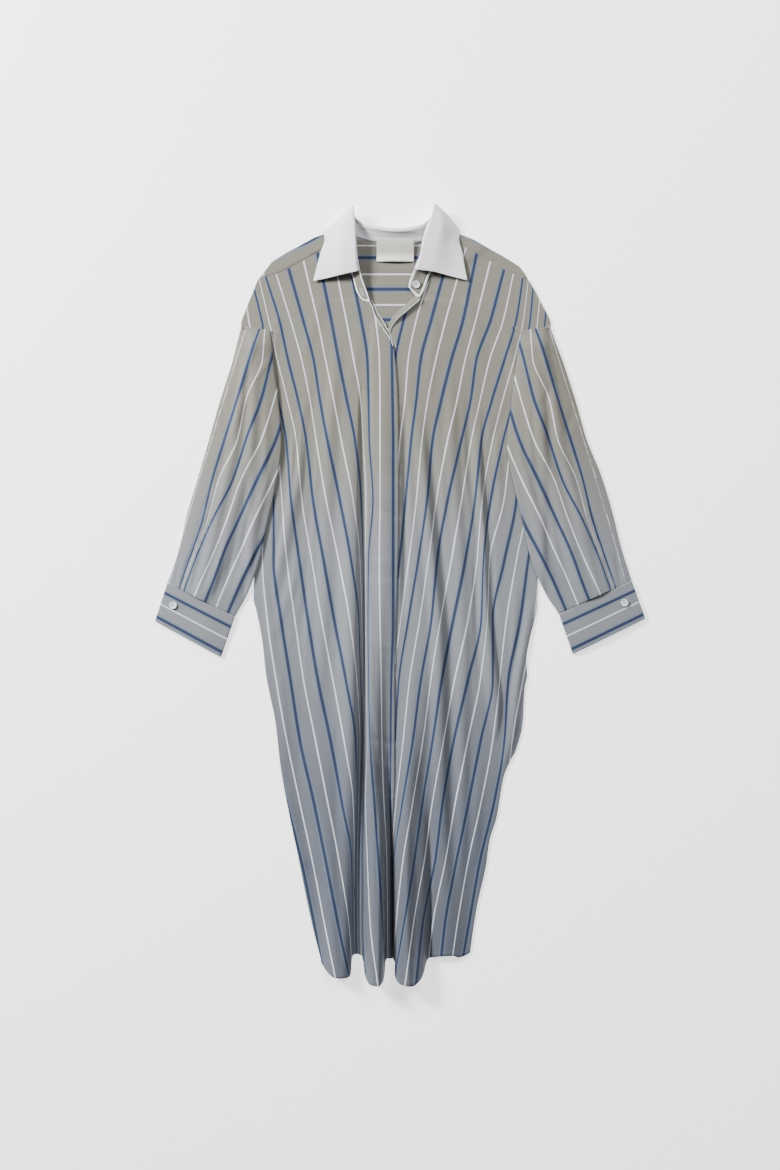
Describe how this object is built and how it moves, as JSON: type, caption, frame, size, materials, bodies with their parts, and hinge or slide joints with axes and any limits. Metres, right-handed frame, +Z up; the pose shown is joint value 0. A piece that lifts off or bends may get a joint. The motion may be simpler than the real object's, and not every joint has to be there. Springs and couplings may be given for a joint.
{
  "type": "shirt dress laid flat",
  "caption": "Long-sleeved striped shirt dress laid flat, with a folded collar, concealed front placket, buttoned cuffs and a folded shirt-tail hem.",
  "frame": {"origin": "middle of the whole outline, on the surface that the dress lies on", "axes": "+Y towards the neck, +X towards the wearer's left sleeve, +Z up out of the front of the dress"},
  "size_m": [0.7845, 1.2424, 0.038],
  "materials": {
    "shirting": "greige cotton poplin with woven blue and white stripes",
    "white_poplin": "plain white cotton poplin",
    "satin": "cream woven satin",
    "buttons": "pearly white resin"
  },
  "bodies": {
    "root": {"back_panel": "shirting", "yoke": "shirting", "front_right": "shirting", "front_left": "shirting", "placket": "shirting", "collar_stand": "white_poplin", "collar_leaf": "white_poplin", "sleeve_right": "shirting", "sleeve_left": "shirting", "cuff_right": "shirting", "cuff_left": "shirting", "cuff_button_right": "buttons", "cuff_button_left": "buttons", "collar_button": "buttons", "neck_label": "satin"}
  },
  "joints": []
}
